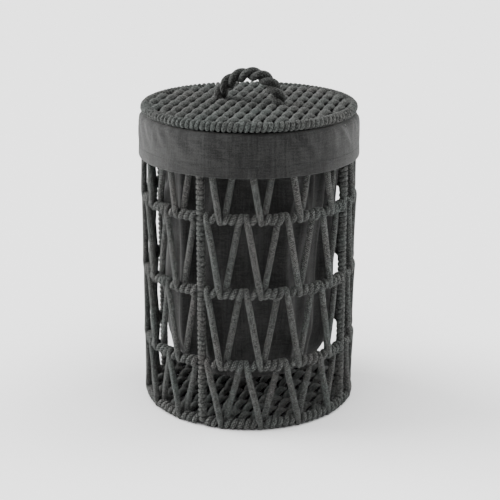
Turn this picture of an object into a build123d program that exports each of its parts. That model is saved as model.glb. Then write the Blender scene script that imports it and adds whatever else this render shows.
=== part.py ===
"""Round open-work laundry hamper: wrapped steel hoops and posts, zigzag cords,
woven base, lift-out canvas liner with a turned-down cuff, and a woven lid with a rope handle.

Millimetres. The origin is on the floor at the centre of the base, +Z up.
The four posts stand on the X and Y axes, and the lid handle spans along X.
"""
from build123d import *
import math
import os

# --- Driving dimensions -----------------------------------------------------------------
body_radius = 190.0            # outside of the cord-wrapped hoops
bottom_row_height = 107.7      # hoop centre to hoop centre, from the floor upwards
lower_row_height = 129.1
upper_row_height = 130.2
top_row_height = 134.5

rod_radius = 3.0               # steel rod of every hoop and post
bar_radius = 2.0               # thinner steel bars across the base and the lid
hoop_wrap_radius = 10.0        # outside of the cord turns round a hoop
post_wrap_radius = 7.5         # outside of the cord turns round a post
rim_wrap_radius = 9.0          # outside of the cord turns round the lid's rim
foot_flat_depth = 0.4          # how far the base hoop's turns are pressed flat on the floor

cord_radius = 5.0              # zigzag cord
cord_pitch = 10.6              # one turn of cord along a hoop
slots_per_zigzag = 6           # turns that one zigzag takes up on a hoop
descent_slots = 2.0            # sideways run of a falling cord, in turns
rise_start_slot = 2.7          # where the rising cord leaves the lower hoop
rise_end_slot = 5.0            # where it reaches the upper hoop
falling_top_offset = 0.0       # radial places of the cords, measured from the hoop's centre line
falling_foot_offset = 6.0
rising_foot_offset = -5.0
rising_top_offset = -4.0

weft_pitch = 9.8               # woven cords of the base and the lid, centre to centre
weft_gap = 0.6                 # daylight between neighbours
weft_thickness = 8.0
bar_spacing = 42.0             # steel bars that the woven cords pass over and under
bar_landing = 3.0              # half length of the flat stretch over a bar
base_weave_lift = 1.5          # base bars above the centre of the base hoop

canvas_thickness = 1.5
cuff_drop = 61.0               # lower edge of the cuff below the centre of the top hoop
hem_height = 22.0
hem_thickness = 3.0
bag_depth = 451.0              # liner bottom below the centre of the top hoop
bag_floor_inset = 62.7         # liner radii, measured inwards from the liner's mouth
bag_hip_inset = 17.7
bag_waist_inset = 12.7
bag_chest_inset = 3.7
bag_hip_rise = 75.0            # heights of those radii above the liner's bottom
bag_waist_rise = 250.0
bag_chest_rise = 390.0

lid_overhang = -1.0            # rim's outside beyond the wrapped hoops
bar_drop = 0.8                 # lid bars below the centre of the rim rod
handle_span = 117.6            # between the feet of the rope handle
rope_radius = 12.0             # outside of the two-strand rope
strand_radius = 4.6            # each strand where it is squeezed between the lid's cords
knot_radius = 14.0
knot_height = 20.0
knot_edge_radius = 7.0

rod_fit = 0.15                 # cord turns or woven cords round a rod or bar
hole_fit = 0.4                 # bars, rods and strands where they pass between cords
side_fit = 0.2                 # a zigzag cord beside a wrapped post
loose_fit = 0.3                # liner over the top hoop, lid on the liner

# --- Sizes that follow ------------------------------------------------------------------
hoop_radius = body_radius - hoop_wrap_radius
top_hoop_radius = hoop_radius - canvas_thickness - loose_fit
base_z = hoop_wrap_radius - foot_flat_depth
lower_z = base_z + bottom_row_height
middle_z = lower_z + lower_row_height
upper_z = middle_z + upper_row_height
top_z = upper_z + top_row_height
hoops = {
    "base": (hoop_radius, base_z),
    "lower": (hoop_radius, lower_z),
    "middle": (hoop_radius, middle_z),
    "upper": (hoop_radius, upper_z),
    "top": (top_hoop_radius, top_z),
}
rows = {
    "bottom": (base_z, lower_z),
    "lower": (lower_z, middle_z),
    "upper": (middle_z, upper_z),
    "top": (upper_z, top_z),
}
posts = {"front": -90.0, "right": 0.0, "back": 90.0, "left": 180.0}
quarters = {"front_right": -90.0, "back_right": 0.0, "back_left": 90.0, "front_left": 180.0}

post_half_gap = math.degrees(math.asin((rod_radius + hole_fit) / (hoop_radius - hoop_wrap_radius)))
quarter_run = math.radians(90.0) * hoop_radius - 2 * post_wrap_radius
zigzags = int(quarter_run / (slots_per_zigzag * cord_pitch))
first_slot_angle = math.degrees((post_wrap_radius + cord_radius + side_fit) / hoop_radius)
slot_angle = (90.0 - 2 * first_slot_angle) / (zigzags * slots_per_zigzag - 1)

fold_inner = hoop_wrap_radius + loose_fit
fold_outer = fold_inner + canvas_thickness
mouth_radius = top_hoop_radius - fold_inner
cuff_radius = top_hoop_radius + fold_outer
fold_top = top_z + fold_outer
bag_floor_z = top_z - bag_depth

rim_radius = body_radius + lid_overhang - rim_wrap_radius
rim_z = fold_top + loose_fit + rim_wrap_radius
lid_bar_z = rim_z - bar_drop
base_bar_z = base_z + base_weave_lift
base_weave_radius = hoop_radius - max(hoop_wrap_radius, cord_radius - rising_foot_offset)
weft_swing = bar_radius + weft_thickness / 2 + rod_fit
weave_half = weft_swing + weft_thickness / 2
handle_gaps = round(handle_span / 2 / weft_pitch)
handle_reach = handle_gaps * weft_pitch
fold_room = fold_outer + loose_fit
weave_over_hoop = lid_bar_z - weave_half - top_z    # underside of the lid's cords above the top hoop
fold_reach = math.sqrt(max(fold_room**2 - weave_over_hoop**2, 0.0))
lid_weave_radius = min(rim_radius - rim_wrap_radius, top_hoop_radius - fold_reach)
knot_top = lid_bar_z - weave_half - loose_fit


# --- Shapes -----------------------------------------------------------------------------
def ring(radius, z, section_radius):
    """A full hoop of round section, lying level."""
    return revolve(Plane.XZ * Pos(radius, z) * Circle(section_radius), Axis.Z)


def wrap_arc(radius, z, wrap_radius, start, end):
    """The turns of cord round one stretch of a hoop, as a tube that leaves room for the rod."""
    section = Circle(wrap_radius) - Circle(rod_radius + rod_fit)
    arc = revolve(Plane.XZ * Pos(radius, z) * section, Axis.Z, revolution_arc=end - start)
    return Rot(0, 0, start) * arc


def around(radius, azimuth):
    """The place on a circle about the hamper's axis."""
    angle = math.radians(azimuth)
    return radius * math.cos(angle), radius * math.sin(angle)


def slanted_cord(top, foot):
    """A straight cord between two (radius, azimuth, z) places, with level ends."""
    start = Vector(*around(top[0], top[1]), top[2])
    finish = Vector(*around(foot[0], foot[1]), foot[2])
    section = Plane(origin=start) * Circle(cord_radius)
    return Solid.extrude(section.face(), finish - start)


def bar_places(reach):
    """Y places of the bars that fit across a disc, half a spacing each side of its centre."""
    count = int(reach / bar_spacing + 0.5)
    return [(number + 0.5) * bar_spacing for number in range(-count, count)]


def bars(hoop, z):
    """Steel bars across a hoop's rod, parallel to X."""
    end = hoop - rod_radius - rod_fit
    lengths = [(y, 2 * math.sqrt(end**2 - (abs(y) + bar_radius)**2))
               for y in bar_places(end - hoop_wrap_radius)]
    return [Pos(0, y, z) * Cylinder(bar_radius, length, rotation=(0, 90, 0)) for y, length in lengths]


def bar_holes(hoop, z):
    """The room that the bars need where they pass through the turns of cord on their hoop."""
    return [Pos(0, y, z) * Cylinder(bar_radius + hole_fit, 2 * hoop, rotation=(0, 90, 0))
            for y in bar_places(hoop - rod_radius - rod_fit - hoop_wrap_radius)]


def weft_profile(z, first_side):
    """Side view of one woven cord: over one bar, under the next, as a closed outline in Y and Z."""
    half_count = int(hoop_radius / bar_spacing) + 2
    centre_line = []
    for number in range(-half_count, half_count):
        side = first_side if number % 2 == 0 else -first_side
        bar_y = (number + 0.5) * bar_spacing
        centre_line += [(bar_y - bar_landing, z + side * weft_swing),
                        (bar_y + bar_landing, z + side * weft_swing)]
    upper_edge = [(y, height + weft_thickness / 2) for y, height in centre_line]
    lower_edge = [(y, height - weft_thickness / 2) for y, height in reversed(centre_line)]
    return Polygon(*upper_edge, *lower_edge, align=None)


def weave(disc_radius, z):
    """All the woven cords of a disc, parallel to Y, each with the opposite phase to its neighbour."""
    disc = Pos(0, 0, z) * Cylinder(disc_radius, 4 * weave_half)
    half_width = (weft_pitch - weft_gap) / 2
    count = int((disc_radius - half_width) / weft_pitch + 0.5)
    cords = []
    for number in range(-count, count):
        profile = weft_profile(z, 1 if number % 2 == 0 else -1)
        strip = extrude(Plane.YZ * profile, half_width, both=True)
        cords.append((Pos((number + 0.5) * weft_pitch, 0, 0) * strip) & disc)
    return cords


def strand_pair(x, low, high, radius):
    """The two strands of the handle side by side where they pass down between two woven cords."""
    outline = SlotCenterToCenter(2 * strand_radius, 2 * radius, rotation=90)
    return extrude(Plane(origin=(x, 0, low)) * outline, high - low)


# --- Basket -----------------------------------------------------------------------------
def hoop_rod(name):
    radius, z = hoops[name]
    return [ring(radius, z, rod_radius)]


def hoop_wrap(name):
    """Four quarter tubes of cord turns, with room at each post for its rod."""
    radius, z = hoops[name]
    arcs = [wrap_arc(radius, z, hoop_wrap_radius, start + post_half_gap, start + 90 - post_half_gap)
            for start in posts.values()]
    if name != "base":
        return arcs
    floor_cut = Pos(0, 0, -hoop_wrap_radius) * Cylinder(2 * body_radius, 2 * hoop_wrap_radius)
    return [arc - floor_cut - bar_holes(radius, base_bar_z) for arc in arcs]


def post_pieces(azimuth, make_section, end_gap):
    """One upright piece per row, standing between two hoops."""
    x, y = around(hoop_radius, azimuth)
    pieces = []
    for low, high in rows.values():
        foot = Plane(origin=(x, y, low + end_gap))
        pieces.append(extrude(foot * make_section(), high - low - 2 * end_gap))
    return pieces


def post_rod(azimuth):
    return post_pieces(azimuth, lambda: Circle(rod_radius), rod_radius + rod_fit)


def post_wrap(azimuth):
    return post_pieces(azimuth, lambda: Circle(post_wrap_radius) - Circle(rod_radius + rod_fit),
                       hoop_wrap_radius)


def zigzag(row, quarter_start):
    """Falling and rising cords of one row between two posts."""
    low, high = rows[row][0] + hoop_wrap_radius, rows[row][1] - hoop_wrap_radius
    cords = []
    for number in range(zigzags):
        first = quarter_start + first_slot_angle + number * slots_per_zigzag * slot_angle
        falling_top = (hoop_radius + falling_top_offset, first, high)
        falling_foot = (hoop_radius + falling_foot_offset, first + descent_slots * slot_angle, low)
        rising_foot = (hoop_radius + rising_foot_offset, first + rise_start_slot * slot_angle, low)
        rising_top = (hoop_radius + rising_top_offset, first + rise_end_slot * slot_angle, high)
        cords += [slanted_cord(falling_top, falling_foot), slanted_cord(rising_top, rising_foot)]
    return cords


def base_weave():
    return weave(base_weave_radius, base_bar_z)


# --- Liner ------------------------------------------------------------------------------
def liner_wall():
    """The hanging bag: a closed canvas skin from its floor up to the fold."""
    outside = [
        (mouth_radius + canvas_thickness - bag_floor_inset, bag_floor_z + canvas_thickness),
        (mouth_radius + canvas_thickness - bag_hip_inset, bag_floor_z + bag_hip_rise),
        (mouth_radius + canvas_thickness - bag_waist_inset, bag_floor_z + bag_waist_rise),
        (mouth_radius + canvas_thickness - bag_chest_inset, bag_floor_z + bag_chest_rise),
        (mouth_radius, top_z),
    ]
    inside = [(radius - canvas_thickness, z) for radius, z in reversed(outside)]
    return [revolve(Plane.XZ * Polygon(*outside, *inside, align=None), Axis.Z)]


def liner_floor():
    radius = mouth_radius + canvas_thickness - bag_floor_inset
    return [extrude(Plane(origin=(0, 0, bag_floor_z)) * Circle(radius), canvas_thickness)]


def liner_cuff():
    """The fold over the top hoop and the band that hangs outside it."""
    half_fold = (Circle(fold_outer) - Circle(fold_inner)) & (Pos(0, fold_outer) * Rectangle(
        2 * fold_outer, 2 * fold_outer))
    fold = revolve(Plane.XZ * Pos(top_hoop_radius, top_z) * half_fold, Axis.Z)
    band_height = cuff_drop - hem_height
    band = Pos(0, 0, top_z - band_height / 2) * (
        Cylinder(cuff_radius, band_height) - Cylinder(cuff_radius - canvas_thickness, band_height))
    return [fold + band]


def liner_hem():
    """The doubled lower edge of the cuff."""
    z = top_z - cuff_drop + hem_height / 2
    inner = cuff_radius - canvas_thickness
    return [Pos(0, 0, z) * (Cylinder(inner + hem_thickness, hem_height) - Cylinder(inner, hem_height))]


# --- Lid --------------------------------------------------------------------------------
def rim_wrap():
    """The cord turns round the rim, in four quarters, pierced where the bars reach the rod."""
    quarter_starts = posts.values()
    arcs = [wrap_arc(rim_radius, rim_z, rim_wrap_radius, start, start + 90) for start in quarter_starts]
    return [arc - bar_holes(rim_radius, lid_bar_z) for arc in arcs]


def lid_weave():
    """The woven top, with the two cords beside each handle foot squeezed apart."""
    feet = [strand_pair(side * handle_reach, lid_bar_z - 2 * weave_half, lid_bar_z + 2 * weave_half,
                        strand_radius + hole_fit) for side in (-1, 1)]
    return [cord - feet for cord in weave(lid_weave_radius, lid_bar_z)]


def handle_rope():
    """Half a hoop of rope whose ends pass down through the woven top to the knots."""
    arch = Rot(90, 0, 0) * revolve(Plane.XZ * Pos(handle_reach, 0) * Circle(rope_radius), Axis.Z,
                                   revolution_arc=180)
    lowest = lid_bar_z + weave_half + loose_fit
    arch = Pos(0, 0, lid_bar_z) * arch
    arch = arch - Pos(0, 0, lowest - 2 * rope_radius) * Box(4 * handle_reach, 4 * rope_radius,
                                                            4 * rope_radius)
    for side in (-1, 1):
        arch = arch + strand_pair(side * handle_reach, knot_top, lowest + strand_radius, strand_radius)
    return [arch]


def handle_knots():
    """The rope's knotted ends, drawn up under the lid."""
    knot = Cylinder(knot_radius, knot_height)
    rims = knot.edges().filter_by(GeomType.CIRCLE)
    knot = fillet(rims, knot_edge_radius)
    return [Pos(side * handle_reach, 0, knot_top - knot_height / 2) * knot for side in (-1, 1)]


# --- Nodes ------------------------------------------------------------------------------
def all_nodes():
    """Every named sub-part, as name and list of shapes."""
    for name in hoops:
        yield f"{name}_hoop_rod", hoop_rod(name)
        yield f"{name}_hoop_wrap", hoop_wrap(name)
    for name, azimuth in posts.items():
        yield f"{name}_post_rod", post_rod(azimuth)
        yield f"{name}_post_wrap", post_wrap(azimuth)
    for row in rows:
        for quarter, start in quarters.items():
            yield f"{row}_row_cord_{quarter}", zigzag(row, start)
    yield "base_bars", bars(hoop_radius, base_bar_z)
    yield "base_weave", base_weave()
    yield "liner_wall", liner_wall()
    yield "liner_floor", liner_floor()
    yield "liner_cuff", liner_cuff()
    yield "liner_hem", liner_hem()
    yield "lid_rim_rod", [ring(rim_radius, rim_z, rod_radius)]
    yield "lid_rim_wrap", rim_wrap()
    yield "lid_bars", bars(rim_radius, lid_bar_z)
    yield "lid_weave", lid_weave()
    yield "handle_rope", handle_rope()
    yield "handle_knots", handle_knots()


os.makedirs("parts", exist_ok=True)
for node, shapes in all_nodes():
    solids = [solid for shape in shapes for solid in shape.solids()]
    export_step(Compound(solids), f"parts/{node}.step")
print("hoop levels", [round(z, 1) for _, z in hoops.values()], "lid rim", round(rim_z, 1))
print("zigzags a quarter", zigzags, "slot angle", round(slot_angle, 3), "handle reach", handle_reach)
print("mouth radius", round(mouth_radius, 2), "cuff radius", round(cuff_radius, 2))
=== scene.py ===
"""Looks of a round open-work laundry hamper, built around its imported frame.

The hamper is a cage of steel hoops and posts wound with knitted cotton cord and strung with
zigzag cords. A canvas liner hangs over the top hoop, and a woven lid with a rope handle lies on it.
Everything is in metres, in the frame's own axes, with the floor at z = 0.
"""
import logging
import math
from dataclasses import dataclass
from enum import Enum
from typing import Any, Iterable, Sequence

import bmesh
import bpy
from mathutils import Matrix, Vector, noise


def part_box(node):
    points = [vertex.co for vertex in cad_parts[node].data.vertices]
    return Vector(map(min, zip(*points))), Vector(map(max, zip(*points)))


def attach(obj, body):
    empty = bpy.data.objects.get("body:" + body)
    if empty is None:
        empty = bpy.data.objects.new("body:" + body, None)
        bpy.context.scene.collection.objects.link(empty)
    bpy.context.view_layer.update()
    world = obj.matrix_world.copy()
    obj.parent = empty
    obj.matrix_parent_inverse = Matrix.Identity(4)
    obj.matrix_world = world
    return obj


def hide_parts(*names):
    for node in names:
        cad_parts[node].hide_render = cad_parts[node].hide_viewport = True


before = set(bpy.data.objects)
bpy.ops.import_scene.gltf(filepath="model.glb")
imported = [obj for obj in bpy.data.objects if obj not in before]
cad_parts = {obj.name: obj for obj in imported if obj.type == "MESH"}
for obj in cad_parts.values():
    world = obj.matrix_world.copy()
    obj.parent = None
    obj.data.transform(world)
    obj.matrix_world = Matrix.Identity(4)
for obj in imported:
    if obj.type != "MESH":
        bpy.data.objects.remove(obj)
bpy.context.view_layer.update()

MM = 0.001
WHOLE_TURN = 2 * math.pi
BAR_SPACING = 42 * MM
MERGE_DISTANCE = 1e-6
LEAST_GAP = 1e-4
NOISE_SEED = 1
LOG = logging.getLogger("hamper")


class Slot(Enum):
    """Names of the material slots."""

    CORD = "cord"
    ROPE = "rope"
    CANVAS = "canvas"
    STEEL = "steel"


class Body(Enum):
    """The bodies that move apart."""

    BASKET = "basket"
    LINER = "liner"
    LID = "lid"


# --- Places and paths ---------------------------------------------------------------------


def around(radius: float, azimuth: float, z: float) -> Vector:
    """Find a place about the hamper's axis.

    Args:
        radius: distance from the axis.
        azimuth: angle about +Z from +X, in radians.
        z: height above the floor.

    Returns:
        The point in the frame's axes.
    """
    return Vector((radius * math.cos(azimuth), radius * math.sin(azimuth), z))


def tangent(azimuth: float) -> Vector:
    """Return the level direction round the hamper's axis at an angle about it."""
    return Vector((-math.sin(azimuth), math.cos(azimuth), 0.0))


def ease(value: float) -> float:
    """Return a smooth step from 0 to 1 for a value that is cut to that range."""
    value = min(max(value, 0.0), 1.0)
    return value * value * (3.0 - 2.0 * value)


@dataclass
class Station:
    """One cross-section of a cord: where it is, which way the cord runs, and its flattened size."""

    centre: Vector
    side: Vector
    width: float
    depth: float


def smooth_run(stations: Sequence[Station], spans: int) -> list[Station]:
    """Add sections between chosen ones, on a curve that passes through them all.

    Args:
        stations: the chosen sections, in order.
        spans: how many steps to make between each two of them.

    Returns:
        The finer list of sections.
    """
    finer: list[Station] = []
    last = len(stations) - 1
    for index in range(last):
        before, here = stations[max(index - 1, 0)], stations[index]
        there, after = stations[index + 1], stations[min(index + 2, last)]
        for step in range(spans):
            share = step / spans
            centre = catmull(before.centre, here.centre, there.centre, after.centre, share)
            mixed = [first + (second - first) * ease(share)
                     for first, second in ((here.width, there.width), (here.depth, there.depth))]
            finer.append(Station(centre, here.side.lerp(there.side, share), *mixed))
    finer.append(stations[last])
    return finer


def catmull(before: Vector, here: Vector, there: Vector, after: Vector, share: float) -> Vector:
    """Find a point on the centripetal curve through four others.

    Args:
        before: the point before the span.
        here: where the span starts.
        there: where it ends.
        after: the point after the span.
        share: how far along the span, from 0 to 1.

    Returns:
        The point on the curve.
    """
    gaps = [max(math.sqrt((second - first).length), LEAST_GAP)
            for first, second in ((before, here), (here, there), (there, after))]
    leave = (there - here) / gaps[1]
    if before != here:
        leave += (here - before) / gaps[0] - (there - before) / (gaps[0] + gaps[1])
    arrive = (there - here) / gaps[1]
    if after != there:
        arrive += (after - there) / gaps[2] - (after - here) / (gaps[1] + gaps[2])
    leave, arrive = leave * gaps[1], arrive * gaps[1]
    square, cube = share**2, share**3
    return ((2 * cube - 3 * square + 1) * here + (cube - 2 * square + share) * leave
            + (3 * square - 2 * cube) * there + (cube - square) * arrive)


# --- Meshes ---------------------------------------------------------------------------------

TRACE = "trace"


def sweep(stations: Sequence[Station], sides: int, start: float = 0.0,
          squareness: float = 2.0) -> bmesh.types.BMesh:
    """Draw a closed tube of flattened round section along a run of stations.

    Each vertex keeps (cosine, sine, length along the cord) in the TRACE layer, for the knit.

    Args:
        stations: the sections in order.
        sides: corners of the section.
        start: the length of cord already used before the first section.
        squareness: 2 for an oval section, and more for one with flatter sides.

    Returns:
        A new bmesh that the caller frees or finishes.
    """
    bm = bmesh.new()
    trace = bm.verts.layers.float_vector.new(TRACE)
    ring = bmesh.ops.create_circle(bm, cap_ends=True, radius=1.0, segments=sides)["verts"]
    for vert in ring:
        vert[trace] = (vert.co.x, vert.co.y, 0.0)
    edges = list(bm.edges)
    length = start
    last = len(stations) - 1
    for index, station in enumerate(stations):
        if index:
            grown = bmesh.ops.extrude_edge_only(bm, edges=edges)["geom"]
            ring = [item for item in grown if isinstance(item, bmesh.types.BMVert)]
            fresh = set(ring)
            edges = [item for item in grown if isinstance(item, bmesh.types.BMEdge)
                     and item.verts[0] in fresh and item.verts[1] in fresh]
            length += (station.centre - stations[index - 1].centre).length
        before, after = stations[max(index - 1, 0)], stations[min(index + 1, last)]
        forward = (after.centre - before.centre).normalized()
        side = (station.side - forward * station.side.dot(forward)).normalized()
        out = forward.cross(side)
        for vert in ring:
            cosine, sine = vert[trace][0], vert[trace][1]
            swell = 0.5 * (abs(cosine)**squareness + abs(sine)**squareness) ** (-1.0 / squareness)
            across, up = cosine * station.width * swell, sine * station.depth * swell
            vert.co = station.centre + side * across + out * up
            vert[trace] = (cosine, sine, length)
    bmesh.ops.contextual_create(bm, geom=edges)
    bmesh.ops.recalc_face_normals(bm, faces=bm.faces)
    return bm


def join(parts: Iterable[bmesh.types.BMesh]) -> bmesh.types.BMesh:
    """Gather several bmeshes into a new one.

    Args:
        parts: the bmeshes, which are freed.

    Returns:
        The new bmesh.
    """
    whole = bmesh.new()
    whole.verts.layers.float_vector.new(TRACE)
    for part in parts:
        mesh = bpy.data.meshes.new("part")
        part.to_mesh(mesh)
        part.free()
        whole.from_mesh(mesh)
        bpy.data.meshes.remove(mesh)
    return whole


def fan_out(bm: bmesh.types.BMesh, count: int, step: float) -> None:
    """Repeat all of a mesh about the hamper's axis.

    Args:
        bm: the mesh, changed in place.
        count: how many there are in the end.
        step: the angle from one to the next, in radians.
    """
    if count > 1:
        geometry = list(bm.verts) + list(bm.edges) + list(bm.faces)
        bmesh.ops.spin(bm, geom=geometry, cent=(0, 0, 0), axis=(0, 0, 1), angle=step * (count - 1),
                       steps=count - 1, use_duplicate=True)


def turn_about(bm: bmesh.types.BMesh, steps: int) -> None:
    """Spin an outline once round the hamper's axis and close the seam and the pole."""
    bmesh.ops.spin(bm, geom=list(bm.verts) + list(bm.edges), cent=(0, 0, 0), axis=(0, 0, 1),
                   angle=WHOLE_TURN, steps=steps, use_merge=True)
    bmesh.ops.remove_doubles(bm, verts=bm.verts, dist=MERGE_DISTANCE)


def keep_above(bm: bmesh.types.BMesh, height: float) -> None:
    """Press flat whatever part of a mesh would hang below a height, as the floor does."""
    for vert in bm.verts:
        vert.co.z = max(vert.co.z, height)


def ruffle(bm: bmesh.types.BMesh, amount: float, grain: float, seed: float) -> None:
    """Shift every vertex a little, so that no two turns of cord are quite alike.

    Args:
        bm: the mesh, changed in place.
        amount: the largest shift, in metres.
        grain: the distance over which the shift changes.
        seed: moves the pattern.
    """
    offset = Vector((seed, -seed, 2 * seed))
    for vert in bm.verts:
        vert.co += noise.noise_vector(vert.co / grain + offset) * amount


def finish_piece(name: str, bm: bmesh.types.BMesh, material: bpy.types.Material, body: Body,
                 nodes: Sequence[str] = (), smooth: bool = True) -> bpy.types.Object:
    """Make an object of a bmesh, dress it, and seat it on its body.

    Args:
        name: the piece's name.
        bm: the mesh, which is freed.
        material: its finish.
        body: what it rides on.
        nodes: the CAD nodes that it stands for.
        smooth: whether its faces are shaded smooth.

    Returns:
        The new object.
    """
    mesh = bpy.data.meshes.new(name)
    for face in bm.faces:
        face.smooth = smooth
    bm.to_mesh(mesh)
    bm.free()
    mesh.materials.append(material)
    piece = bpy.data.objects.new(name, mesh)
    bpy.context.scene.collection.objects.link(piece)
    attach(piece, body.value)
    if nodes:
        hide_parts(*nodes)
    LOG.info("%s: %d faces on %s", name, len(mesh.polygons), body.value)
    return piece


# --- Shader graphs --------------------------------------------------------------------------


class Graph:
    """A material's node tree, and the one way to add a node to it."""

    def __init__(self, name: str) -> None:
        """Start a material with nothing but its output."""
        self.material = bpy.data.materials.new(name)
        self.material.use_nodes = True
        self.tree = self.material.node_tree
        self.tree.nodes.clear()
        self.output = self.tree.nodes.new("ShaderNodeOutputMaterial")

    def node(self, kind: str, settings: dict[str, Any] | None = None,
             inputs: dict[Any, Any] | None = None) -> bpy.types.Node:
        """Add a node.

        Args:
            kind: the node's type, without its ShaderNode prefix.
            settings: its properties, which are set first; "stops" fills a colour ramp.
            inputs: values or links by socket name or number.

        Returns:
            The node.
        """
        made = self.tree.nodes.new("ShaderNode" + kind)
        for key, value in (settings or {}).items():
            if key == "stops":
                ramp = made.color_ramp
                while len(ramp.elements) < len(value):
                    ramp.elements.new(1.0)
                for element, (place, colour) in zip(ramp.elements, value):
                    element.position = place
                    element.color = (*colour, 1.0)
            else:
                setattr(made, key, value)
        for key, value in (inputs or {}).items():
            socket = made.inputs[key]
            if isinstance(value, Wire):
                value = value.socket
            if isinstance(value, bpy.types.NodeSocket):
                self.tree.links.new(value, socket)
            else:
                socket.default_value = value
        return made

    def wire(self, kind: str, settings: dict[str, Any] | None = None, inputs: dict[Any, Any] | None = None,
             output: Any = 0) -> "Wire":
        """Add a node and return one of its outputs, ready for arithmetic."""
        return Wire(self, self.node(kind, settings, inputs).outputs[output])

    def mix(self, factor: Any, first: Any, second: Any) -> "Wire":
        """Blend two colours, given as red, green and blue or as wires."""
        colours = [(*colour, 1.0) if isinstance(colour, tuple) else colour for colour in (first, second)]
        return self.wire("Mix", {"data_type": "RGBA"}, {0: factor, 6: colours[0], 7: colours[1]}, 2)

    def surface(self, shader: dict[str, Any], height: "Wire | None" = None, relief: float = 1.0,
                depth: float = 1.0 * MM) -> bpy.types.Material:
        """Finish the material with a principled surface.

        Args:
            shader: the surface's inputs.
            height: what the bump follows.
            relief: the bump's strength.
            depth: the bump's height in metres.

        Returns:
            The material.
        """
        if height is not None:
            shader = {**shader, "Normal": self.wire("Bump", None, {
                "Strength": relief, "Distance": depth, "Height": height})}
        principled = self.node("BsdfPrincipled", None, shader)
        self.tree.links.new(principled.outputs[0], self.output.inputs[0])
        return self.material


class Wire:
    """A shader value that takes part in Python arithmetic by adding Math nodes."""

    def __init__(self, graph: Graph, socket: bpy.types.NodeSocket) -> None:
        """Wrap an output socket."""
        self.graph = graph
        self.socket = socket

    def math(self, operation: str, *values: Any) -> "Wire":
        """Return the result of a Math node on this value and any others."""
        inputs = dict(enumerate((self, *values)))
        return self.graph.wire("Math", {"operation": operation}, inputs)

    def __add__(self, other: Any) -> "Wire":
        """Add."""
        return self.math("ADD", other)

    __radd__ = __add__

    def __mul__(self, other: Any) -> "Wire":
        """Multiply."""
        return self.math("MULTIPLY", other)

    __rmul__ = __mul__

    def __sub__(self, other: Any) -> "Wire":
        """Subtract."""
        return self.math("SUBTRACT", other)

    def __rsub__(self, other: Any) -> "Wire":
        """Take this value from a number."""
        return (self * -1.0) + other

    def ridge(self) -> "Wire":
        """Return a row of rounded ridges, one for each whole number."""
        return (self * math.pi).math("SINE").math("ABSOLUTE")

    def whole(self) -> "Wire":
        """Return the value rounded down."""
        return self.math("FLOOR")


def speckle(graph: Graph, coordinates: Any, scale: float, detail: float = 2.0, seed: float = 0.0) -> Wire:
    """Return smooth noise from 0 to 1 at so many features a metre."""
    return graph.wire("TexNoise", {"noise_dimensions": "4D"}, {
        "Vector": coordinates, "W": seed, "Scale": scale, "Detail": detail})


# --- Finishes -------------------------------------------------------------------------------


@dataclass(frozen=True)
class KnittedCord:
    """Soft cotton cord with a plaited cover and a little fuzz, with painted shade in the grooves between
    the plait's strands.
    """

    name: str
    shade: tuple[float, float, float]
    light: tuple[float, float, float]
    strands: int = 7
    lay: float = 13.0 * MM
    ribs: float = 0.6
    fuzz: float = 1.0
    groove_shade_power: float = 2.5
    fuzz_contrast: float = 3.2
    patch_contrast: float = 0.6
    base_tone: float = 0.1
    rib_balance: float = 0.42
    fuzz_relief: float = 1.2

    def make(self) -> bpy.types.Material:
        """Build the material from the cord's own trace.

        Returns:
            The material.
        """
        graph = Graph(self.name)
        trace = graph.wire("Attribute", {"attribute_name": TRACE}, None, "Vector")
        parts = graph.node("SeparateXYZ", None, {0: trace})
        cosine, sine, length = (Wire(graph, output) for output in parts.outputs)
        turn = sine.math("ARCTAN2", cosine) * (self.strands / WHOLE_TURN)
        travel = length * (self.strands / self.lay / 2)
        left, right = turn + travel, turn - travel
        over = ((left.whole() + right.whole()) * 0.5).math("FRACT").math("GREATER_THAN", 0.25)
        left_lobe = right.ridge() * (left.ridge() * 0.5 + 0.5)
        right_lobe = left.ridge() * (right.ridge() * 0.5 + 0.5)
        plait = over * left_lobe + (1.0 - over) * right_lobe
        place = graph.wire("TexCoord", None, None, "Object")
        fuzz = speckle(graph, place, scale=360.0, detail=5.0)
        patch = speckle(graph, place, scale=70.0, seed=3.0)
        cloud = speckle(graph, place, scale=14.0, detail=1.0, seed=7.0)
        # Painted shade: the colour runs from shade to light with the plait's relief, so the grooves
        # between strands are painted dark; fuzz and patch are the yarn's own random tone.
        painted_groove_shade = plait.math("POWER", self.groove_shade_power)
        tone = (painted_groove_shade * self.ribs + (fuzz - 0.5) * (self.fuzz_contrast * self.fuzz)
                + patch * self.patch_contrast + self.base_tone - self.ribs * self.rib_balance)
        warm = graph.mix(cloud * 1.6 - 0.3, (1.09, 0.98, 0.98), (0.92, 1.03, 1.0))
        yarn_and_groove_shade = graph.mix(tone.math("MAXIMUM", 0.0).math("MINIMUM", 1.0), self.shade, self.light)
        colour = graph.wire("Mix", {"data_type": "RGBA", "blend_type": "MULTIPLY"},
                            {0: 1.0, 6: yarn_and_groove_shade, 7: warm}, 2)
        return graph.surface({"Base Color": colour, "Roughness": 0.92, "Specular IOR Level": 0.25,
                              "Sheen Weight": 0.08, "Sheen Roughness": 0.45,
                              "Sheen Tint": (0.85, 0.88, 0.86, 1.0)},
                             height=plait * self.ribs + fuzz * (self.fuzz_relief * self.fuzz),
                             relief=1.0, depth=1.8 * MM)


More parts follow.
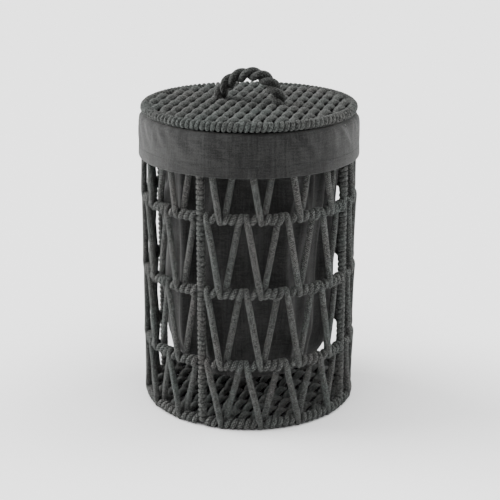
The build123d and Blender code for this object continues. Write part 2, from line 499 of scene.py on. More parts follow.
@dataclass(frozen=True)
class LinenCanvas:
    """Plain-woven canvas with slubs, thick and thin threads both ways, and painted shade between its
    threads.
    """

    name: str
    shade: tuple[float, float, float]
    light: tuple[float, float, float]
    thread: float = 1.1 * MM
    threads_round: int = 1082
    weave_shade_contrast: float = 0.3
    slub_contrast: float = 3.3
    fuzz_contrast: float = 2.7
    cloud_contrast: float = 1.5
    darkening: float = 3.45

    def make(self) -> bpy.types.Material:
        """Build the material from the cloth's own trace.

        Returns:
            The material.
        """
        graph = Graph(self.name)
        trace = graph.wire("Attribute", {"attribute_name": TRACE}, None, "Vector")
        parts = graph.node("SeparateXYZ", None, {0: trace})
        cosine, sine, length = (Wire(graph, output) for output in parts.outputs)
        warp = (sine.math("ARCTAN2", cosine) * (self.threads_round / WHOLE_TURN)).ridge()
        weft = (length * (1.0 / self.thread)).ridge()
        weave = warp * 0.5 + weft * 0.5
        place = graph.wire("TexCoord", None, None, "Object")
        ring = graph.wire("CombineXYZ", None, {0: cosine * 0.025, 1: sine * 0.025, 2: length})
        pole = graph.wire("CombineXYZ", None, {0: cosine * 1.2, 1: sine * 1.2, 2: length * 0.35})
        long_slubs = speckle(graph, pole, scale=60.0, detail=3.0)
        short_slubs = speckle(graph, ring, scale=420.0, detail=3.0, seed=5.0)
        slubs = long_slubs * 0.5 + short_slubs * 0.5
        fuzz = speckle(graph, place, scale=560.0, detail=3.0, seed=2.0)
        cloud = speckle(graph, place, scale=22.0, seed=9.0)
        # Painted shade: the weave's thread crests are painted lighter and the gaps between threads darker;
        # slubs, fuzz and cloud are the cloth's own random tone.
        tone = (weave * self.weave_shade_contrast + slubs * self.slub_contrast + fuzz * self.fuzz_contrast
                + cloud * self.cloud_contrast - self.darkening)
        colour = graph.mix(tone.math("MAXIMUM", 0.0).math("MINIMUM", 1.0), self.shade, self.light)
        return graph.surface({"Base Color": colour, "Roughness": 0.88, "Specular IOR Level": 0.25,
                              "Sheen Weight": 0.12, "Sheen Roughness": 0.5,
                              "Sheen Tint": (0.9, 0.9, 0.88, 1.0)},
                             height=weave * 0.6 + slubs * 0.8 + fuzz * 0.2, relief=0.55, depth=0.6 * MM)


@dataclass(frozen=True)
class CoatedSteel:
    """Black powder coat over round steel rod."""

    name: str
    colour: tuple[float, float, float]
    lightening: float = 1.6

    def make(self) -> bpy.types.Material:
        """Build the material.

        Returns:
            The material.
        """
        graph = Graph(self.name)
        place = graph.wire("TexCoord", None, None, "Object")
        peel = speckle(graph, place, scale=1500.0)
        cloud = speckle(graph, place, scale=60.0, detail=3.0, seed=4.0)
        colour = graph.mix(cloud, self.colour, tuple(channel * self.lightening for channel in self.colour))
        return graph.surface({"Base Color": colour, "Roughness": cloud * 0.2 + 0.5},
                             height=peel, relief=0.4, depth=0.1 * MM)


@dataclass(frozen=True)
class PaleFloor:
    """Smooth pale studio floor that glows a little away from the hamper, as painted light."""

    name: str
    colour: tuple[float, float, float]
    darkening: float = 0.97
    glow_start: float = 0.2
    glow_end: float = 0.6
    glow_strength: float = 0.3

    def make(self) -> bpy.types.Material:
        """Build the material.

        Returns:
            The material.
        """
        graph = Graph(self.name)
        place = graph.wire("TexCoord", None, None, "Object")
        cloud = speckle(graph, place, scale=3.0)
        away = graph.wire("VectorMath", {"operation": "LENGTH"}, {0: place}, "Value")
        # Painted light: the floor glows by emission, more the farther it lies from the hamper, so it looks
        # brighter there though no lamp lights it.
        painted_glow = graph.wire("MapRange", {"interpolation_type": "SMOOTHSTEP"}, {
            "Value": away, "From Min": self.glow_start, "From Max": self.glow_end,
            "To Min": 0.0, "To Max": 1.0})
        colour = graph.mix(cloud * 0.2, self.colour,
                           tuple(channel * self.darkening for channel in self.colour))
        return graph.surface({"Base Color": colour, "Roughness": 0.8, "Specular IOR Level": 0.2,
                              "Emission Color": graph.mix(painted_glow, (0.0, 0.0, 0.0), (1.0, 1.0, 1.0)),
                              "Emission Strength": self.glow_strength})


@dataclass
class Finishes:
    """The finishes of the whole hamper, made once."""

    cord: bpy.types.Material
    zigzag: bpy.types.Material
    rope: bpy.types.Material
    canvas: bpy.types.Material
    thread: bpy.types.Material
    steel: bpy.types.Material

    @classmethod
    def make(cls) -> "Finishes":
        """Make every finish.

        Returns:
            The finishes.
        """
        return cls(
            cord=KnittedCord("knitted_cord", (0.0098, 0.0103, 0.0099), (0.093, 0.0977, 0.094),
                             strands=8, lay=10.0 * MM, ribs=0.25, fuzz=0.9).make(),
            zigzag=KnittedCord("ribbed_zigzag_cord", (0.01, 0.0105, 0.0101), (0.132, 0.1386, 0.1337),
                               strands=6, lay=9.6 * MM, ribs=1.1, fuzz=1.05).make(),
            rope=KnittedCord("handle_rope_cord", (0.009, 0.0094, 0.009), (0.064, 0.0672, 0.0643)).make(),
            canvas=LinenCanvas("linen_canvas", (0.004, 0.004, 0.004), (0.022, 0.0223, 0.0217)).make(),
            thread=KnittedCord("seam_thread", (0.006, 0.006, 0.006), (0.022, 0.0222, 0.0217),
                               strands=3, lay=1.6 * MM).make(),
            steel=CoatedSteel("coated_steel", (0.012, 0.012, 0.013)).make(),
        )


# --- Frame measures -------------------------------------------------------------------------


@dataclass(frozen=True)
class Hoop:
    """A wound hoop as the frame has it."""

    name: str
    radius: float
    z: float
    rod: float
    wrap: float

    @classmethod
    def read(cls, name: str, rod_node: str, wrap_node: str) -> "Hoop":
        """Read a hoop's sizes from its rod and its winding.

        Args:
            name: what to call it.
            rod_node: the steel rod's node.
            wrap_node: the winding's node.

        Returns:
            The hoop.
        """
        low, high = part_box(rod_node)
        rod = (high[2] - low[2]) / 2
        z = (high[2] + low[2]) / 2
        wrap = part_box(wrap_node)[1][2] - z
        return cls(name, (high[0] - low[0]) / 2 - rod, z, rod, wrap)

    @property
    def winding(self) -> float:
        """Distance from the rod's centre to the middle of the cord wound on it."""
        return (self.rod + self.wrap) / 2

    @property
    def thickness(self) -> float:
        """Thickness of the cord pressed on the rod."""
        return self.wrap - self.rod

    def place(self, outward: float, upward: float, azimuth: float) -> Vector:
        """Return a point beside the hoop's centre line."""
        return around(self.radius + outward, azimuth, self.z + upward)


HOOPS = {name: Hoop.read(name, f"{name}_hoop_rod", f"{name}_hoop_wrap")
         for name in ("base", "lower", "middle", "upper", "top")}
ROWS = {"bottom": ("base", "lower"), "lower": ("lower", "middle"),
        "upper": ("middle", "upper"), "top": ("upper", "top")}
POSTS = {"front": -90.0, "right": 0.0, "back": 90.0, "left": 180.0}
QUARTERS = {"front_right": -90.0, "back_right": 0.0, "back_left": 90.0, "front_left": 180.0}


@dataclass(frozen=True)
class Pitches:
    """How the turns of cord share out each quarter of a hoop."""

    zigzags: int = 4
    slots: int = 6
    cord: float = 10.4 * MM
    post_wrap: float = 7.5 * MM

    @property
    def first(self) -> float:
        """Angle from a post to the first turn beside it."""
        return (self.post_wrap + self.cord / 2) / HOOPS["middle"].radius

    @property
    def slot(self) -> float:
        """Angle from one turn to the next."""
        return (math.pi / 2 - 2 * self.first) / (self.zigzags * self.slots - 1)


PITCH = Pitches()


# --- Basket ---------------------------------------------------------------------------------


@dataclass
class WoundHoop:
    """The plain turns of cord on one hoop, apart from those that belong to the zigzags."""

    hoop: Hoop
    plain_slots: tuple[int, ...]
    lean: float = 0.1
    fill: float = 0.86
    plump: float = 1.25
    steps: int = 12
    sides: int = 8

    def turn(self, azimuth: float, pitch: float) -> list[Station]:
        """Follow one turn from the inner side, under, up the front and over.

        Args:
            azimuth: where the turn's front lies.
            pitch: the angle that the turn takes up.

        Returns:
            The turn's sections.
        """
        stations = []
        thickness = self.hoop.thickness * self.plump
        reach = self.hoop.wrap - thickness / 2
        for step in range(self.steps + 1):
            angle = -math.pi + WHOLE_TURN * step / self.steps
            place = azimuth + pitch * (angle / WHOLE_TURN + self.lean * math.sin(angle))
            outward, upward = reach * math.cos(angle), reach * math.sin(angle)
            width = pitch * (self.hoop.radius + outward) * self.fill
            centre = self.hoop.place(outward, upward, place)
            stations.append(Station(centre, tangent(place), width, thickness))
        return stations

    def build(self) -> bmesh.types.BMesh:
        """Lay the plain turns of every zigzag and every quarter.

        Returns:
            The turns' mesh.
        """
        turns = [sweep(self.turn(PITCH.first + PITCH.slot * slot, PITCH.slot), self.sides)
                 for slot in self.plain_slots]
        bm = join(turns)
        fan_out(bm, PITCH.zigzags, PITCH.slot * PITCH.slots)
        fan_out(bm, len(QUARTERS), math.pi / 2)
        ruffle(bm, amount=0.35 * MM, grain=12 * MM, seed=self.hoop.z)
        keep_above(bm, 0.0)
        return bm


@dataclass
class WoundPost:
    """The turns of cord down one post, from hoop to hoop and across the hoops between."""

    azimuth: float
    low: Vector
    high: Vector
    radius: float
    rod: float
    pitch: float = 8.8 * MM
    plump: float = 1.4
    level: float = 0.13
    fill: float = 0.97
    squareness: float = 2.4
    steps: int = 16
    sides: int = 10

    def build(self) -> bmesh.types.BMesh:
        """Wind the cord from the foot of the post to its head, nearly level across the outer face.

        Returns:
            The winding's mesh.
        """
        middle = (self.low + self.high) / 2
        height = self.high.z - self.low.z
        turns = round(height / self.pitch)
        thickness = (self.radius - self.rod) * self.plump
        reach = self.radius - thickness / 2
        stations = []
        for step in range(turns * self.steps + 1):
            angle = WHOLE_TURN * step / self.steps
            facing = math.sin(angle - math.radians(self.azimuth))
            z = self.low.z + height * step / (turns * self.steps) - self.level * self.pitch * facing
            centre = Vector((middle.x, middle.y, z)) + around(1.0, angle, 0.0) * reach
            stations.append(Station(centre, Vector((0, 0, 1)), self.pitch * self.fill, thickness))
        bm = sweep(stations, self.sides, squareness=self.squareness)
        keep_above(bm, 0.0)
        return bm


@dataclass
class ZigzagRow:
    """One row's cord: over the upper hoop, down in front of the lower one, up behind, and over."""

    lower: Hoop
    upper: Hoop
    width: float = 11.2 * MM
    depth: float = 10.4 * MM
    laid: float = 9.1 * MM
    plump: float = 1.22
    spans: int = 5
    sides: int = 12

    def station(self, hoop: Hoop, outward: float, upward: float, slot: float, pressed: bool) -> Station:
        """Place one section beside a hoop.

        Args:
            hoop: the hoop that the section is near.
            outward: how far outside the hoop's centre line, in millimetres.
            upward: how far above it, in millimetres.
            slot: where along the quarter, in turns of cord.
            pressed: whether the cord is pressed on the rod there.

        Returns:
            The section.
        """
        azimuth = PITCH.first + PITCH.slot * slot
        width, depth = (self.laid, hoop.thickness * self.plump) if pressed else (self.width, self.depth)
        return Station(hoop.place(outward * MM, upward * MM, azimuth), tangent(azimuth), width, depth)

    def route(self) -> list[Station]:
        """Follow the cord through one quarter, zigzag after zigzag.

        Returns:
            The chosen sections, in order.
        """
        low, high = self.lower, self.upper
        stations = []
        for number in range(PITCH.zigzags):
            first = number * PITCH.slots
            fall = [(high, -6.5, -1.5, -0.7, True), (high, -4.8, 4.6, -0.32, True),
                    (high, 0.0, 6.6, -0.08, True), (high, 4.7, 4.6, -0.05, True),
                    (high, 6.4, -0.5, 0.0, True), (high, 5.8, -8.0, 0.12, False),
                    (high, 5.2, -22.0, 0.36, False), (low, 5.2, 22.0, 1.66, False),
                    (low, 6.0, 9.0, 1.88, False), (low, 6.4, 0.5, 2.0, True),
                    (low, 4.7, -4.7, 2.05, True), (low, 0.0, -6.6, 2.15, True),
                    (low, -4.8, -4.6, 2.35, True), (low, -6.5, 1.5, 2.6, True)]
            rise = [(low, -6.0, 9.0, 2.78, False), (low, -5.2, 20.0, 2.95, False),
                    (high, -5.2, -20.0, 4.55, False), (high, -6.0, -9.0, 4.72, False),
                    (high, -6.5, 0.5, 4.9, True), (high, -4.7, 4.8, 5.12, True),
                    (high, 0.0, 6.6, 5.22, True), (high, 4.7, 4.6, 5.14, True),
                    (high, 6.4, -0.2, 5.0, True), (high, 4.7, -4.7, 4.84, True),
                    (high, 0.0, -6.6, 4.85, True), (high, -5.5, -5.6, 5.05, True)]
            for hoop, outward, upward, slot, pressed in fall + rise:
                stations.append(self.station(hoop, outward, upward, first + slot, pressed))
        return stations

    def build(self) -> bmesh.types.BMesh:
        """Draw the quarter's cord."""
        return sweep(smooth_run(self.route(), self.spans), self.sides)


# --- Woven discs ----------------------------------------------------------------------------


@dataclass
class WovenDisc:
    """Soft cords side by side, over one steel bar and under the next, inside a wound hoop.

    The widths and depths of a cord swell where it passes a bar and pinch between two. Near a foot of
    the handle, if the disc has one, the cords part to let the rope through.
    """

    hoop: Hoop
    bar_z: float
    weave_height: float
    foot: float | None = None
    pinch: float = 0.84
    bulge: float = 1.26
    thin: float = 0.88
    thicken: float = 0.38
    pitch: float = 9.8 * MM
    width: float = 11.2 * MM
    depth: float = 8.0 * MM
    edge: float = 14 * MM
    parting: float = 3.2 * MM
    parting_length: float = 13 * MM
    parting_width: float = 9 * MM
    stagger: float = 0.37
    sides: int = 12
    step: float = 3.5 * MM

    @property
    def reach(self) -> float:
        """Radius at which the cords end, inside the hoop's winding."""
        return self.hoop.radius - self.depth / 2

    @property
    def swing(self) -> float:
        """How far a cord's middle rises and falls past the bars."""
        return self.weave_height / 2 - self.depth / 2

    def cord(self, number: int) -> list[Station]:
        """Follow one cord across the disc.

        Args:
            number: which cord, counted from the middle; its sign gives the side.

        Returns:
            The cord's sections.
        """
        x = (number + 0.5) * self.pitch
        phase = 1 if number % 2 == 0 else -1
        half = math.sqrt(self.reach**2 - x**2)
        count = max(int(2 * half / self.step), 4)
        stations = []
        for index in range(count + 1):
            y = -half + 2 * half * index / count
            wave = phase * math.sin(math.pi * y / BAR_SPACING)
            swell = abs(wave) ** 0.8
            near = ease((half - abs(y)) / self.edge)
            z = self.hoop.z + (self.bar_z + self.swing * wave - self.hoop.z) * near
            spread = 0.0
            if self.foot:
                gap = abs(x) - self.foot
                fade = math.exp(-(y / self.parting_length) ** 2 - (gap / self.parting_width) ** 4)
                spread = math.copysign(self.parting, x * gap) * fade
            stations.append(Station(Vector((x + spread, y, z)), Vector((1, 0, 0)),
                                    self.width * (self.pinch + (self.bulge - self.pinch) * swell),
                                    self.depth * (self.thin + self.thicken * swell)))
        return stations

    def build(self) -> bmesh.types.BMesh:
        """Weave every cord.

        Returns:
            The cords' mesh.
        """
        count = int((self.reach - self.pitch / 2) / self.pitch + 0.5)
        bm = join(sweep(self.cord(number), self.sides, self.stagger * number)
                  for number in range(-count, count))
        ruffle(bm, amount=0.5 * MM, grain=11 * MM, seed=self.bar_z)
        return bm


# --- Lid ------------------------------------------------------------------------------------


@dataclass
class WoundRim:
    """The turns of cord all round the lid's rim."""

    hoop: Hoop
    pitch: float = 9.2 * MM
    lean: float = -0.02
    fill: float = 0.87

    def build(self) -> bmesh.types.BMesh:
        """Lay the turns side by side in a closed ring.

        Returns:
            The turns' mesh.
        """
        count = round(WHOLE_TURN * self.hoop.radius / self.pitch)
        step = WHOLE_TURN / count
        winding = WoundHoop(self.hoop, (), lean=self.lean, fill=self.fill)
        bm = join([sweep(winding.turn(0.0, step), winding.sides)])
        fan_out(bm, count, step)
        ruffle(bm, amount=0.4 * MM, grain=10 * MM, seed=4.0)
        return bm


@dataclass
class RopeHandle:
    """Two soft cords laid into a rope that arches over the lid and is knotted under it."""

    reach: float
    z: float
    foot_drop: float
    strand: float = 13.7 * MM
    slump: float = 3.0 * MM
    sway: float = 6.5 * MM
    lay: float = 46.0 * MM
    splay: float = 0.41
    sections: int = 120
    knot_sections: int = 96
    knot_size: float = 2.9 * MM
    knot_cord: float = 9 * MM
    knot_drop: float = 10 * MM
    sides: int = 16

    def line(self, length: float) -> tuple[Vector, Vector]:
        """Find the rope's centre and its outward direction.

        Args:
            length: how far along the rope, from the lower end of its first foot.

        Returns:
            The centre and the direction.
        """
        arch = math.pi * self.reach
        if length < self.foot_drop:
            return Vector((-self.reach, 0, self.z - self.foot_drop + length)), Vector((-1, 0, 0))
        if length > self.foot_drop + arch:
            down = length - self.foot_drop - arch
            return Vector((self.reach, 0, self.z - down)), Vector((1, 0, 0))
        angle = math.pi - (length - self.foot_drop) / self.reach
        out = Vector((math.cos(angle), 0, math.sin(angle)))
        lift, aside = out.z * (self.reach - self.slump), self.sway * out.z**2
        return Vector((out.x * self.reach + aside, 0, self.z + lift)), out

    def strand_run(self, phase: float) -> list[Station]:
        """Follow one of the two strands.

        Args:
            phase: the strand's angle about the rope at the middle of the arch.

        Returns:
            The strand's sections.
        """
        total = math.pi * self.reach + 2 * self.foot_drop
        level = Vector((0, 1, 0))
        stations = []
        for index in range(self.sections + 1):
            length = total * index / self.sections
            centre, out = self.line(length)
            angle = phase + WHOLE_TURN * (length - total / 2) / self.lay
            across = out * math.cos(angle) + level * math.sin(angle)
            stations.append(Station(centre + across * self.strand * self.splay,
                                    level * math.cos(angle) - out * math.sin(angle),
                                    self.strand, self.strand))
        return stations

    def build(self) -> bmesh.types.BMesh:
        """Lay both strands."""
        return join(sweep(self.strand_run(phase), self.sides) for phase in (0.0, math.pi))

    def knots(self, top: float) -> bmesh.types.BMesh:
        """Tie a round knot at each foot.

        Args:
            top: the height of the knots' tops.

        Returns:
            The knots' mesh.
        """
        parts = []
        for side in (-1, 1):
            stations = []
            for index in range(self.knot_sections + 1):
                angle = WHOLE_TURN * index / self.knot_sections
                place = Vector((math.sin(angle) + 2 * math.sin(2 * angle),
                                math.cos(angle) - 2 * math.cos(2 * angle), -1.6 * math.sin(3 * angle)))
                centre = Vector((side * self.reach, 0, top - self.knot_drop)) + place * self.knot_size
                stations.append(Station(centre, Vector((0.3, 0.2, 1.0)), self.knot_cord, self.knot_cord))
            parts.append(sweep(stations, self.sides))
        return join(parts)


# --- Liner ----------------------------------------------------------------------------------


@dataclass
class CanvasLiner:
    """The canvas bag that hangs inside, folded over the top hoop into a cuff."""

    hoop: Hoop
    mouth: float
    floor: float
    floor_radius: float
    cuff_bottom: float
    cuff_radius: float
    steps: int = 288
    grid: float = 4.5 * MM
    thickness: float = 1.3 * MM
    fold: float = 26 * MM
    fold_bias: float = 0.35
    ripple: float = 1.0 * MM
    crease: float = 7.0 * MM
    pucker: float = 0.7 * MM
    press: float = 0.6 * MM
    cuff_cloth: float = 110 * MM
    floor_hold: float = 60 * MM
    hem_hold: float = 14 * MM
    blend: float = 30 * MM

    def profile(self) -> list[Vector]:
        """Choose the half outline from the middle of the bag's floor to the cuff's lower edge.

        Returns:
            The outline's points, in the plane of the X and Z axes.
        """
        points = [Vector((self.floor_radius * share, 0, self.floor + 2 * MM))
                  for share in (0.0, 0.4, 0.75, 0.95)]
        shoulders = [(-62.0, 3.0), (-52.0, 10.0), (-30.0, 42.0), (-17.7, 75.0), (-13.5, 128.0),
                     (-12.7, 188.0), (-12.0, 250.0), (-8.0, 318.0), (-4.5, 390.0), (-2.2, 433.0)]
        points += [Vector((self.mouth + inset * MM, 0, self.floor + rise * MM))
                   for inset, rise in shoulders]
        over = self.hoop.wrap + 0.9 * MM
        arc = 8
        for index in range(arc + 1):
            angle = math.pi - math.pi * index / arc
            points.append(Vector((self.hoop.radius + over * math.cos(angle), 0,
                                  self.hoop.z + over * math.sin(angle))))
        points += [Vector((self.cuff_radius + 1.4 * MM, 0, self.hoop.z - 20 * MM)),
                   Vector((self.cuff_radius + 3.4 * MM, 0, self.cuff_bottom + 20 * MM)),
                   Vector((self.cuff_radius + 2.6 * MM, 0, self.cuff_bottom))]
        return points

    def build(self) -> bmesh.types.BMesh:
        """Turn the outline about the axis and let the cloth fall in folds.

        Returns:
            The cloth's mesh, one sheet with no thickness.
        """
        bm = bmesh.new()
        trace = bm.verts.layers.float_vector.new(TRACE)
        length = 0.0
        previous = None
        for point in fine_line(self.profile(), self.grid):
            vert = bm.verts.new(point)
            if previous is not None:
                length += (point - previous.co).length
                bm.edges.new((previous, vert))
            vert[trace] = (0.0, 0.0, length)
            previous = vert
        turn_about(bm, self.steps)
        for vert in bm.verts:
            azimuth = math.atan2(vert.co.y, vert.co.x)
            along = vert[trace][2]
            vert[trace] = (math.cos(azimuth), math.sin(azimuth), along)
            vert.co = self.fall(vert.co, azimuth, along, length)
        bmesh.ops.recalc_face_normals(bm, faces=bm.faces)
        return bm

    def fall(self, point: Vector, azimuth: float, along: float, total: float) -> Vector:
        """Move a point of the smooth bag to where the soft cloth hangs.

        Args:
            point: the place on the smooth bag.
            azimuth: its angle about the axis.
            along: its distance from the middle of the floor, along the cloth.
            total: the length of the whole outline.

        Returns:
            The moved point.
        """
        if math.hypot(point.x, point.y) < 10 * MERGE_DISTANCE:
            return point
        inside = 1.0 - ease((along - (total - self.cuff_cloth)) / self.blend)
        hang = ease((point.z - self.floor) / self.floor_hold)
        wander = noise.noise(around(3, azimuth, along * 5))
        folds = noise.noise(Vector((math.cos(azimuth) * 4 + wander, math.sin(azimuth) * 4 + wander,
                                    along * 2.0 + 9)))
        ripples = noise.noise(around(14, azimuth, along * 9))
        bag = (inside * (0.3 + 0.7 * hang)
               * ((folds - self.fold_bias) * self.fold + ripples * self.ripple))
        slant = azimuth - 4.5 * along
        drag = noise.noise(around(6, slant, along * 5 + 3))
        calm = noise.noise(around(2, azimuth, 7.0))
        pucker = noise.noise(around(22, azimuth, along * 12))
        crease = (0.5 - abs(drag)) * ease(0.6 + calm)
        loose = ease((total - along - self.hem_hold) / self.blend)
        cuff = (1.0 - inside) * (loose * (crease * self.crease + pucker * self.pucker - self.press)
                                 + (1.0 - loose) * hem_wave(azimuth))
        return point + around(1.0, azimuth, 0.0) * (bag + cuff)


def hem_wave(azimuth: float) -> float:
    """Return how far the cuff's edge stands out of round at an angle about the axis, in metres."""
    return noise.noise(around(9, azimuth, 3.0)) * 0.5 * MM


def fine_line(points: Sequence[Vector], step: float) -> list[Vector]:
    """Divide a chosen outline into short even steps on a smooth curve through its points.

    Args:
        points: the chosen outline.
        step: the length that each step comes near.

    Returns:
        The finer outline.
    """
    fine: list[Vector] = []
    last = len(points) - 1
    for index in range(last):
        here, there = points[index], points[index + 1]
        before, after = points[max(index - 1, 0)], points[min(index + 2, last)]
        count = max(round((there - here).length / step), 1)
        fine += [catmull(before, here, there, after, number / count) for number in range(count)]
    fine.append(points[last])
    return fine


@dataclass
class CuffHem:
    """The cuff's doubled edge and the row of stitches that holds it.

    The band's weave is counted from cloth_start, in metres along the cloth.
    """

    radius: float
    low: float
    high: float
    steps: int = 288
    cloth_start: float = 0.6
    stitch_pitch: float = 4.4 * MM
    stitch_half: float = 1.45 * MM
    stitch_width: float = 0.75 * MM
    stitch_depth: float = 0.6 * MM

    def band(self) -> bmesh.types.BMesh:
        """Turn the doubled edge: a flat rounded band round the cuff.

        Returns:
            The band's mesh.
        """
        bm = bmesh.new()
        trace = bm.verts.layers.float_vector.new(TRACE)
        corners = [(0.0, self.low), (1.2, self.low - 0.4 * MM), (1.6, self.low + 1.0 * MM),
                   (1.3, (self.low + self.high) / 2), (0.9, self.high - 4.0 * MM), (0.0, self.high)]
        verts = [bm.verts.new((self.radius + outward * MM, 0, z)) for outward, z in corners]
        length = self.cloth_start
        for index, vert in enumerate(verts):
            bm.edges.new((vert, verts[(index + 1) % len(verts)]))
            if index:
                length += (vert.co - verts[index - 1].co).length
            vert[trace] = (0.0, 0.0, length)
        turn_about(bm, self.steps)
        for vert in bm.verts:
            azimuth = math.atan2(vert.co.y, vert.co.x)
            vert[trace] = (math.cos(azimuth), math.sin(azimuth), vert[trace][2])
            vert.co += around(hem_wave(azimuth), azimuth, hem_wave(azimuth))
        bmesh.ops.recalc_face_normals(bm, faces=bm.faces)
        return bm

    def stitches(self, z: float) -> bmesh.types.BMesh:
        """Sew a ring of short stitches.

        Args:
            z: its height.

        Returns:
            The stitches' mesh.
        """
        count = round(WHOLE_TURN * self.radius / self.stitch_pitch)
        half = self.stitch_half / self.radius
        stations = []
        for share in (-1.0, -0.5, 0.5, 1.0):
            bulge = 1.0 - 0.6 * share**2
            stations.append(Station(around(self.radius + (0.55 + 0.3 * bulge) * MM, share * half, z),
                                    Vector((0, 0, 1)), self.stitch_width * bulge,
                                    self.stitch_depth * bulge))
        bm = join([sweep(stations, sides=6)])
        fan_out(bm, count, WHOLE_TURN / count)
        for vert in bm.verts:
            azimuth = math.atan2(vert.co.y, vert.co.x)
            vert.co += around(hem_wave(azimuth), azimuth, 0.0)
        return bm


# --- Studio ---------------------------------------------------------------------------------


@dataclass
class Studio:
    """Camera, soft lights and pale floor."""

    azimuth: float = 26.6
    distance: float = 2.3237
    height: float = 1.0086
    pitch: float = 17.68
    lens: float = 97.76
    turn: float = 0.04
    sensor: float = 36.0
    lamp_distance: float = 3.0
    sky_strength: float = 0.5
    floor_size: float = 20.0

    def along(self, right: float, forward: float, up: float) -> Vector:
        """Return a place given to the right of, beyond and above the hamper as the camera sees it."""
        angle = math.radians(self.azimuth)
        return Vector((right * math.cos(angle) - forward * math.sin(angle),
                       right * math.sin(angle) + forward * math.cos(angle), up))

    def camera(self) -> None:
        """Set up the camera."""
        data = bpy.data.cameras.new("camera")
        data.lens = self.lens
        data.sensor_width = self.sensor
        eye = bpy.data.objects.new("camera", data)
        eye.location = self.along(0.0, -self.distance, self.height)
        eye.rotation_euler = (math.radians(90 - self.pitch), 0, math.radians(self.azimuth - self.turn))
        bpy.context.scene.collection.objects.link(eye)
        bpy.context.scene.camera = eye

    def light(self, name: str, side: float, height: float, power: float, spread: float) -> None:
        """Hang a very large soft light far away.

        Args:
            name: the light's name.
            side: degrees to the right of the camera, seen from the hamper.
            height: degrees above the floor.
            power: its strength.
            spread: its width in degrees.
        """
        data = bpy.data.lights.new(name, "SUN")
        data.energy = power
        data.angle = math.radians(spread)
        lamp = bpy.data.objects.new(name, data)
        level, turn = math.cos(math.radians(height)), math.radians(side)
        place = self.along(level * math.sin(turn), -level * math.cos(turn), math.sin(math.radians(height)))
        lamp.location = place * self.lamp_distance
        lamp.rotation_euler = place.to_track_quat("Z", "Y").to_euler()
        bpy.context.scene.collection.objects.link(lamp)

    def build(self) -> None:
        """Set up everything that isn't the hamper."""
        self.camera()
        self.light("left_sky", side=-105.0, height=18.0, power=9.0, spread=50.0)
        self.light("right_sky", side=110.0, height=20.0, power=3.1, spread=50.0)
        self.light("overhead", side=20.0, height=80.0, power=3.1, spread=70.0)
        world = bpy.data.worlds.new("studio")
        bpy.context.scene.world = world
        world.use_nodes = True
        sky = world.node_tree.nodes["Background"]
        sky.inputs["Color"].default_value = (1.0, 1.0, 1.0, 1.0)
        sky.inputs["Strength"].default_value = self.sky_strength
        bm = bmesh.new()
        bmesh.ops.create_grid(bm, x_segments=4, y_segments=4, size=self.floor_size)
        mesh = bpy.data.meshes.new("studio_floor")
        bm.to_mesh(mesh)
        bm.free()
        mesh.materials.append(PaleFloor("pale_floor", (0.93, 0.93, 0.93)).make())
        floor = bpy.data.objects.new("studio_floor", mesh)
        bpy.context.scene.collection.objects.link(floor)


# --- Assembly -------------------------------------------------------------------------------


def dress_rods(finishes: Finishes) -> None:
    """Give the steel rods and bars, which stay as the frame made them, their coating."""
    rods = [f"{name}_hoop_rod" for name in HOOPS] + [f"{name}_post_rod" for name in POSTS]
    for name in rods + ["base_bars", "lid_bars", "lid_rim_rod"]:
        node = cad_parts[name]
        node.data.materials.clear()
        node.data.materials.append(finishes.steel)


def build_basket(finishes: Finishes) -> None:
    """Wind the hoops and posts, string the rows, and weave the floor.

    Args:
        finishes: the hamper's finishes.
    """
    foot_drop, floor_room = 4.5 * MM, 0.5 * MM
    plain = {"base": (0, 1, 3, 4, 5), "lower": (1, 3, 4), "middle": (1, 3, 4), "upper": (1, 3, 4),
             "top": (1, 2, 3, 4)}
    for name, hoop in HOOPS.items():
        finish_piece(f"{name}_hoop_turns", WoundHoop(hoop, plain[name]).build(), finishes.zigzag,
                     Body.BASKET, [f"{name}_hoop_wrap"])
    for name, azimuth in POSTS.items():
        low, high = (Vector(corner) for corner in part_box(f"{name}_post_wrap"))
        rod_low, rod_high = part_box(f"{name}_post_rod")
        middle = (low + high) / 2
        foot = Vector((middle.x, middle.y, HOOPS["base"].z - foot_drop))
        head = Vector((middle.x, middle.y, HOOPS["top"].z))
        post = WoundPost(azimuth, foot, head, (high.x - low.x) / 2, (rod_high[0] - rod_low[0]) / 2)
        finish_piece(f"{name}_post_turns", post.build(), finishes.cord, Body.BASKET,
                     [f"{name}_post_wrap"])
    for row, (lower, upper) in ROWS.items():
        for index, (quarter, start) in enumerate(QUARTERS.items()):
            bm = ZigzagRow(HOOPS[lower], HOOPS[upper]).build()
            turned = Matrix.Rotation(math.radians(start), 3, "Z")
            bmesh.ops.rotate(bm, verts=bm.verts, cent=(0, 0, 0), matrix=turned)
            ruffle(bm, amount=0.4 * MM, grain=18 * MM, seed=index + HOOPS[lower].z)
            keep_above(bm, 0.0)
            finish_piece(f"{row}_row_zigzag_{quarter}", bm, finishes.zigzag, Body.BASKET,
                         [f"{row}_row_cord_{quarter}"])
    bars_low, bars_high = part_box("base_bars")
    weave_low, weave_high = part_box("base_weave")
    bar_z = (bars_low[2] + bars_high[2]) / 2
    bm = WovenDisc(HOOPS["base"], bar_z, weave_high[2] - weave_low[2], pinch=0.9).build()
    keep_above(bm, floor_room)
    finish_piece("base_weave_cords", bm, finishes.cord, Body.BASKET, ["base_weave"])


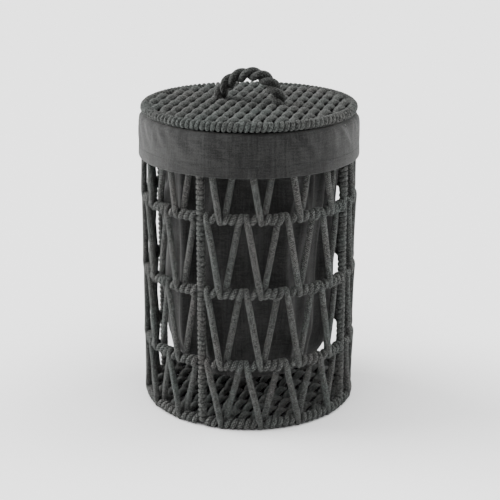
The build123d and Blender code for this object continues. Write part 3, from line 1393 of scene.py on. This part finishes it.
def build_liner(finishes: Finishes) -> None:
    """Hang the liner and sew its hem.

    Args:
        finishes: the hamper's finishes.
    """
    cuff_girth = 1.19
    wall_low, wall_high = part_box("liner_wall")
    hem_low, hem_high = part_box("liner_hem")
    cuff_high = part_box("liner_cuff")[1]
    floor_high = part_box("liner_floor")[1]
    liner = CanvasLiner(HOOPS["top"], mouth=wall_high[0] - 0.6 * MM, floor=wall_low[2],
                        floor_radius=floor_high[0], cuff_bottom=hem_low[2],
                        cuff_radius=cuff_high[0] - 1.5 * MM)
    bm = liner.build()
    area = sum(face.calc_area() for face in bm.faces)
    canvas = finish_piece("liner_canvas", bm, finishes.canvas, Body.LINER,
                          ["liner_wall", "liner_floor", "liner_cuff"])
    shell = canvas.modifiers.new("thickness", "SOLIDIFY")
    shell.thickness = liner.thickness
    shell.offset = 0.0
    hem = CuffHem(radius=cuff_high[0] + 1.9 * MM, low=hem_low[2], high=hem_high[2])
    band = finish_piece("liner_hem_band", hem.band(), finishes.canvas, Body.LINER,
                        ["liner_hem"])
    seam = finish_piece("liner_hem_stitches", hem.stitches(hem_high[2] - 3 * MM), finishes.thread,
                        Body.LINER)
    LOG.info("liner cloth %.3f square metres", area)
    area / cuff_girth


def build_lid(finishes: Finishes) -> None:
    """Wind the rim, weave the top, and lay the rope handle.

    Args:
        finishes: the hamper's finishes.
    """
    reach = 58.8 * MM
    rim = Hoop.read("rim", "lid_rim_rod", "lid_rim_wrap")
    finish_piece("lid_rim_turns", WoundRim(rim).build(), finishes.cord, Body.LID,
                 ["lid_rim_wrap"])
    bars_low, bars_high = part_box("lid_bars")
    weave_low, weave_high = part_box("lid_weave")
    bar_z = (bars_low[2] + bars_high[2]) / 2
    knot_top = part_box("handle_knots")[1][2]
    top = WovenDisc(rim, bar_z, weave_high[2] - weave_low[2], foot=reach)
    finish_piece("lid_weave_cords", top.build(), finishes.cord, Body.LID, ["lid_weave"])
    rope = RopeHandle(reach, bar_z, foot_drop=bar_z - knot_top)
    finish_piece("handle_rope_strands", rope.build(), finishes.rope, Body.LID, ["handle_rope"])
    finish_piece("handle_rope_knots", rope.knots(knot_top), finishes.rope, Body.LID,
                 ["handle_knots"])


def main() -> None:
    """Build the studio and the hamper.

    The noise is given a seed first, because its vectors otherwise start from the clock.
    """
    logging.basicConfig(level=logging.INFO, format="%(name)s %(message)s")
    noise.seed_set(NOISE_SEED)
    Studio().build()
    finishes = Finishes.make()
    dress_rods(finishes)
    build_basket(finishes)
    build_liner(finishes)
    build_lid(finishes)


if __name__ == "__main__":
    main()
